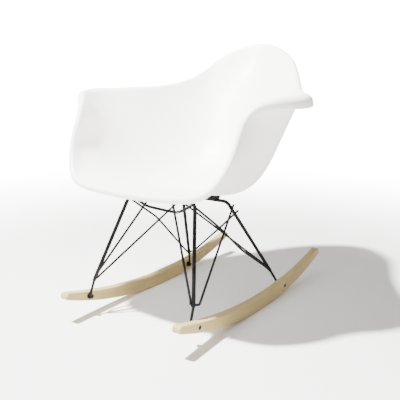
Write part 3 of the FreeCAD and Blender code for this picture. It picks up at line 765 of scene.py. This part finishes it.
# %% Side struts, from the rear feet up to the front legs
REAR_JOINT, FRONT_HIGH_JOINT = 0.14, 0.955
start = beside(up_rear(REAR_JOINT), REAR_LINE, (-0.1, -1, 0), BUTT)
target = beside(up_front(FRONT_HIGH_JOINT), FRONT_LINE, (0.1, 1, 0), TOUCH)
strut_pair("side_tie_to_front", "side_strut_to_front",
           [start, (131, 84, 88), (108, -3, 148.5), (98, -97, 225), target], [6, 200, 200])
weld(start, REAR_LINE, SIDE_WELD)
weld(beside(up_front(FRONT_HIGH_JOINT), FRONT_LINE, (0.1, 1, 0), LEG_R), FRONT_LINE, SIDE_WELD)

# %% Rear struts, which cross one in front of the other
REAR_CROSS_JOINT = 0.85
CROSSING, CROSS_GAP = np.array((0, 57, 176.0)), 2.8
low_side, high_side = (-1, 0.6, 0), (0.2, 1, 0.4)
start = beside(up_rear(REAR_JOINT), REAR_LINE, low_side, BUTT)
turned = beside(up_rear(REAR_JOINT), REAR_LINE, low_side, BUTT + 9) + (0, 0, 1.5)
aim = beside(up_rear(REAR_CROSS_JOINT), REAR_LINE, high_side, TOUCH)
end = aim * MIRROR + (-7, -2.0, 5)
for side, label in ((1, "left"), (-1, "right")):
    flip = np.array((side, 1, 1))
    corners = [start, turned, CROSSING - (0, side * CROSS_GAP, 0), end]
    draw_rod(label + "_rear_tie", [c * flip for c in corners], [5, 400], STRUT_R, label + "_rear_strut")
weld(start, REAR_LINE, SIDE_WELD)
weld(beside(up_rear(REAR_CROSS_JOINT), REAR_LINE, high_side, LEG_R), REAR_LINE, SIDE_WELD)
weld(CROSSING, (1, 0, 1.0), 2.6)
print("weld beads noted:", len(welds))

# %% [markdown]
# ## Weld beads
# A weld is a short run of metal pushed into the corner between two rods: longer than it is
# wide, with faint ripples, and under the same coat as the rods. The same lump is wanted at
# every joint, turned and sized to suit, so a Geometry Nodes tool puts one at each noted point
# and lets noise make each of them a little different.

# %% The weld tool
BEAD_SHAPE = (0.62, 0.62, 1.25)
BEAD_UNEVENNESS = 0.0009


def weld_tool():
    t, gin, gout = tree("lay weld beads", [("Unevenness", "NodeSocketFloat", BEAD_UNEVENNESS),
                                           ("Material", "NodeSocketMaterial", None)])
    lump = add(t, "GeometryNodeMeshIcoSphere", Radius=1.0, Subdivisions=4)
    stretch = add(t, "GeometryNodeTransform")
    stretch.inputs["Scale"].default_value = BEAD_SHAPE
    size = add(t, "GeometryNodeInputNamedAttribute", data_type="FLOAT")
    size.inputs["Name"].default_value = "bead_size"
    run = add(t, "GeometryNodeInputNamedAttribute", data_type="FLOAT_VECTOR")
    run.inputs["Name"].default_value = "bead_run"
    aim = add(t, "FunctionNodeAlignRotationToVector", axis="Z")
    put = add(t, "GeometryNodeInstanceOnPoints")
    link(t, lump.outputs["Mesh"], stretch.inputs["Geometry"])
    link(t, stretch.outputs[0], put.inputs["Instance"])
    link(t, gin.outputs["Geometry"], put.inputs["Points"])
    link(t, size.outputs["Attribute"], put.inputs["Scale"])
    link(t, run.outputs["Attribute"], aim.inputs["Vector"])
    link(t, aim.outputs[0], put.inputs["Rotation"])
    real = add(t, "GeometryNodeRealizeInstances")
    link(t, put.outputs[0], real.inputs[0])
    where = add(t, "GeometryNodeInputPosition")
    noise = add(t, "ShaderNodeTexNoise", Scale=420.0, Detail=2.0)
    centred = add(t, "ShaderNodeVectorMath", operation="SUBTRACT")
    centred.inputs[1].default_value = (0.5, 0.5, 0.5)
    scaled = add(t, "ShaderNodeVectorMath", operation="SCALE")
    move = add(t, "GeometryNodeSetPosition")
    link(t, where.outputs[0], noise.inputs["Vector"])
    link(t, noise.outputs["Color"], centred.inputs[0])
    link(t, centred.outputs[0], scaled.inputs[0])
    link(t, gin.outputs["Unevenness"], scaled.inputs["Scale"])
    link(t, real.outputs[0], move.inputs[0])
    link(t, scaled.outputs[0], move.inputs["Offset"])
    return close_tree(t, gin, gout, move.outputs[0])


# %% Lay the beads
beads = mesh_object("weld_beads", [at * MM for at, _, _ in welds], [])
sizes = beads.data.attributes.new("bead_size", "FLOAT", "POINT")
sizes.data.foreach_set("value", [size * MM for _, _, size in welds])
runs = beads.data.attributes.new("bead_run", "FLOAT_VECTOR", "POINT")
runs.data.foreach_set("vector", [c for _, run, _ in welds for c in run])
run_tool(beads, weld_tool(), Unevenness=BEAD_UNEVENNESS, Material=POWDER)
settle(beads)
print("weld beads:", len(beads.data.polygons), "faces")

# %% [markdown]
# ## Floor, light and camera
# The chair stands on a plain pale floor that seems to have no end. One lamp can't light a floor
# evenly so far out, so the floor far from the chair glows a little, for the camera only: it
# runs into the white surround, and it sheds no light on the chair.

# %% Floor
FLOOR_HALF, FLOOR_GLOW = 40.0, 18.0
GLOW_STARTS, GLOW_FULL = 0.6, 3.2


def pale_floor():
    m = plain_finish("pale_floor", ((0.86, 0.855, 0.85), (0.88, 0.875, 0.87)), (0.55, 0.7),
                     grain=300.0, bump=(0.02, 0.0003), patch_scale=1.5)
    t = m.node_tree
    p = t.nodes["Principled BSDF"]
    place = add(t, "ShaderNodeTexCoord")
    far = add(t, "ShaderNodeVectorMath", operation="LENGTH")
    camera_ray = add(t, "ShaderNodeLightPath")
    rise = add(t, "ShaderNodeMapRange", interpolation_type="SMOOTHSTEP")
    rise.inputs["From Min"].default_value = GLOW_STARTS
    rise.inputs["From Max"].default_value = GLOW_FULL
    both = add(t, "ShaderNodeMath", operation="MULTIPLY")
    tint = add(t, "ShaderNodeMix", data_type="RGBA")
    tint.inputs["A"].default_value = (0, 0, 0, 1)
    tint.inputs["B"].default_value = (1, 1, 1, 1)
    link(t, place.outputs["Object"], far.inputs[0])
    link(t, far.outputs["Value"], rise.inputs["Value"])
    link(t, rise.outputs["Result"], both.inputs[0])
    link(t, camera_ray.outputs["Is Camera Ray"], both.inputs[1])
    link(t, both.outputs[0], tint.inputs["Factor"])
    link(t, tint.outputs["Result"], p.inputs["Emission Color"])
    p.inputs["Emission Strength"].default_value = FLOOR_GLOW
    corners = [(x * FLOOR_HALF, y * FLOOR_HALF, 0) for x, y in ((-1, -1), (1, -1), (1, 1), (-1, 1))]
    floor = mesh_object("floor", corners, [(0, 1, 2, 3)])
    floor.data.materials.append(m)
    floor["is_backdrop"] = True
    return floor


print("floor:", pale_floor().name)

# %% [markdown]
# The shadow spreads as it runs away from the chair, as a near lamp's does and the sun's does
# not. So the key is one small lamp, high in front and to the sitter's right, and its shadow
# falls back and to the left with an edge that is only slightly soft. The white surround fills
# the shaded sides.

# %% Light
KEY_AT, KEY_POWER, KEY_RADIUS = (-0.68, -1.31, 3.10), 3100.0, 0.10
FILL, SEEN_WHITE = 0.8, 17.0
lamp = bpy.data.lights.new("soft key", "POINT")
lamp.energy, lamp.shadow_soft_size = KEY_POWER, KEY_RADIUS
lamp.color = (1.0, 0.99, 0.975)
key = bpy.data.objects.new("soft key", lamp)
key.location = KEY_AT
SCENE.objects.link(key)
world = bpy.data.worlds.new("white surround")
world.use_nodes = True
surround = world.node_tree.nodes["Background"]
surround.inputs["Color"].default_value = (1.0, 0.97, 0.945, 1)
camera_ray = add(world.node_tree, "ShaderNodeLightPath")
brighter = add(world.node_tree, "ShaderNodeMath", operation="MULTIPLY_ADD")
brighter.inputs[1].default_value = SEEN_WHITE
brighter.inputs[2].default_value = FILL
link(world.node_tree, camera_ray.outputs["Is Camera Ray"], brighter.inputs[0])
link(world.node_tree, brighter.outputs[0], surround.inputs["Strength"])
bpy.context.scene.world = world
print("key lamp at", KEY_AT, "and fill", FILL)

# %% [markdown]
# The camera stands in front and to the sitter's left, a little above the arms, and looks
# slightly down. Its own right, up and back directions make the three columns of its rotation.

# %% Camera
CAMERA_AT = Vector((0.8339, -1.3002, 0.5807))
LOOK_RIGHT, LOOK_UP, LOOK_BACK = (0.8345, 0.5507, 0.0179), (-0.1232, 0.1548, 0.9802), (0.5371, -0.8202, 0.1970)
lens = bpy.data.cameras.new("view")
lens.sensor_width = 36.0
lens.lens = 53.24
lens.shift_x, lens.shift_y = -0.006, -0.004
camera = bpy.data.objects.new("view", lens)
facing = Matrix((LOOK_RIGHT, LOOK_UP, LOOK_BACK)).transposed().to_4x4()
camera.matrix_world = Matrix.Translation(CAMERA_AT) @ facing
SCENE.objects.link(camera)
bpy.context.scene.camera = camera
print("camera at", [round(v, 3) for v in CAMERA_AT])

# %% [markdown]
# Last, the finished chair is measured against the engineering model, so that anything that
# outgrew its piece shows up as a number.

# %% Sizes, then the last check
made_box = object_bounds()
past = max(max(CAD_BOX[0][i] - made_box[0][i], made_box[1][i] - CAD_BOX[1][i]) for i in range(3))
print("visual box past the engineering box, in mm:", round(past / MM, 2))
